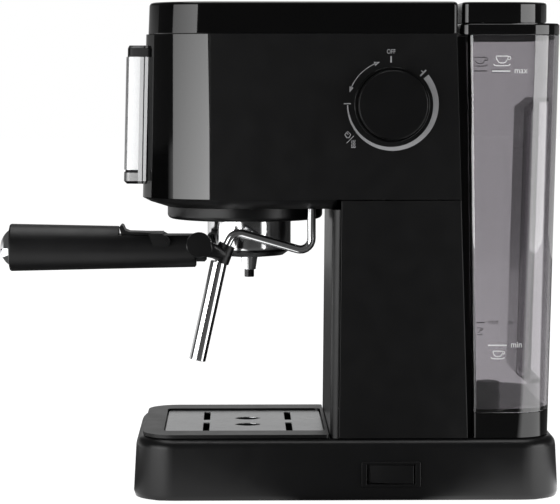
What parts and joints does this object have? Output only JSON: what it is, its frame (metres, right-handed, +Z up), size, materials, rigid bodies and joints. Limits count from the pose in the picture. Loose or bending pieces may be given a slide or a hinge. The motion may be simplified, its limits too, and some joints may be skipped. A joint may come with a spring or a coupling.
{
  "type": "espresso machine",
  "caption": "Slim pump espresso machine: portafilter with bayonet group, swivel steam wand, side steam knob, push buttons, lift-out drip tray and rear lift-out water tank with lid.",
  "frame": {"origin": "on the counter, in the plane of the four rubber feet, under the middle of the base's width and length", "axes": "+Z up, front of the machine (handle, control panel) towards -Y, steam knob side +X"},
  "size_m": [0.159, 0.3635, 0.3129],
  "materials": {
    "matte_black": "fine matte moulded plastic",
    "satin_black": "satin moulded plastic",
    "gloss_black": "high gloss",
    "rubber": "matte",
    "chrome": "polished",
    "steel": "brushed",
    "aluminium": "cast",
    "brass": "machined",
    "smoke_clear": "smoke-tinted clear plastic, polished",
    "board_green": "solder mask",
    "silicone": "translucent silicone",
    "light_lens": "clear diffuser",
    "button_white": "metallised"
  },
  "bodies": {
    "root": {"base_shell": "satin_black", "base_plate": "matte_black", "rubber_feet": "rubber", "base_screws": "steel", "cord_gland": "matte_black", "switch_bezel": "matte_black", "column_front_cover": "satin_black", "column_side_right": "matte_black", "column_side_left": "matte_black", "rear_cover": "matte_black", "head_side_right": "matte_black", "head_side_left": "matte_black", "head_bezel": "gloss_black", "head_bottom_cover": "satin_black", "top_cover": "gloss_black", "cup_warmer_plate": "steel", "control_panel": "chrome", "panel_trim": "chrome", "indicator_window": "gloss_black", "indicator_lights": "light_lens", "button_board": "board_green", "control_board": "board_green", "inner_chassis": "steel", "thermoblock": "aluminium", "thermostats": "light_lens", "group_head": "aluminium", "group_gasket": "rubber", "shower_screen": "steel", "vibration_pump": "steel", "pump_mounts": "rubber", "pump_hose": "silicone", "steam_valve_body": "brass", "steam_pipe": "silicone", "tank_socket": "matte_black", "socket_seal": "rubber", "knob_trim_ring": "chrome"},
    "portafilter": {"portafilter_cup": "chrome", "filter_basket": "steel", "spout": "chrome", "portafilter_handle": "satin_black", "handle_end_cap": "chrome"},
    "retainer_clip": {"retainer_clip": "satin_black"},
    "steam_wand": {"wand_tube": "chrome", "wand_grip": "satin_black", "frother_sleeve": "chrome"},
    "steam_knob": {"steam_knob": "satin_black", "valve_spindle": "brass"},
    "steam_needle": {"valve_needle": "steel"},
    "power_button": {"power_button": "button_white"},
    "coffee_button": {"coffee_button": "button_white"},
    "steam_button": {"steam_button": "button_white"},
    "power_rocker": {"power_rocker": "gloss_black"},
    "water_tank": {"tank_shell": "smoke_clear", "tank_foot": "gloss_black", "tank_rim": "gloss_black", "valve_spring": "steel"},
    "tank_lid": {"tank_lid": "gloss_black"},
    "tank_valve": {"tank_valve": "matte_black"},
    "drip_tray": {"drip_tray": "satin_black"},
    "drip_grid": {"drip_grid": "steel"}
  },
  "joints": [
    {"name": "portafilter_twist", "type": "hinge", "parent": "root", "child": "portafilter", "pos_m": [0, -0.0612, 0.18], "axis": [0, 0, 1], "range_deg": [-45, 0]},
    {"name": "retainer_clip_flip", "type": "hinge", "parent": "portafilter", "child": "retainer_clip", "pos_m": [0, -0.1158, 0.16], "axis": [-1, 0, 0], "range_deg": [0, 25]},
    {"name": "wand_swivel", "type": "hinge", "parent": "root", "child": "steam_wand", "pos_m": [0.05, -0.0221, 0.19], "axis": [0, 0, 1], "range_deg": [0, 75]},
    {"name": "steam_knob_turn", "type": "hinge", "parent": "root", "child": "steam_knob", "pos_m": [0.07, 0.0273, 0.249], "axis": [1, 0, 0], "range_deg": [0, 315]},
    {"name": "steam_needle_lift", "type": "slide", "parent": "root", "child": "steam_needle", "axis": [1, 0, 0], "range_m": [0, 0.0011]},
    {"name": "power_button_press", "type": "slide", "parent": "root", "child": "power_button", "axis": [0, 1, 0], "range_m": [0, 0.0015], "stiffness_N_per_m": 400},
    {"name": "coffee_button_press", "type": "slide", "parent": "root", "child": "coffee_button", "axis": [0, 1, 0], "range_m": [0, 0.0015], "stiffness_N_per_m": 400},
    {"name": "steam_button_press", "type": "slide", "parent": "root", "child": "steam_button", "axis": [0, 1, 0], "range_m": [0, 0.0015], "stiffness_N_per_m": 400},
    {"name": "power_rocker_tilt", "type": "hinge", "parent": "root", "child": "power_rocker", "pos_m": [0.0714, 0.0272, 0.0177], "axis": [0, 0, 1], "range_deg": [0, 14]},
    {"name": "tank_lift", "type": "slide", "parent": "root", "child": "water_tank", "axis": [0, 0, 1], "range_m": [0, 0.28]},
    {"name": "tank_lid_flip", "type": "hinge", "parent": "water_tank", "child": "tank_lid", "pos_m": [0, 0.12382, 0.3024], "axis": [-1, 0, 0], "range_deg": [0, 90]},
    {"name": "tank_valve_close", "type": "slide", "parent": "water_tank", "child": "tank_valve", "axis": [0, 0, 1], "range_m": [-0.003, 0], "deforming": ["valve_spring"]},
    {"name": "drip_tray_lift", "type": "slide", "parent": "root", "child": "drip_tray", "axis": [0, 0, 1], "range_m": [0, 0.03]},
    {"name": "drip_grid_lift", "type": "slide", "parent": "drip_tray", "child": "drip_grid", "axis": [0, 0, 1], "range_m": [0, 0.012]}
  ],
  "couplings": [
    {"joint": "steam_needle_lift", "follows": "steam_knob_turn", "m_per_rad": 0.00019894},
    {"joint": "tank_valve_close", "follows": "tank_lift", "ratio": -0.0107}
  ]
}
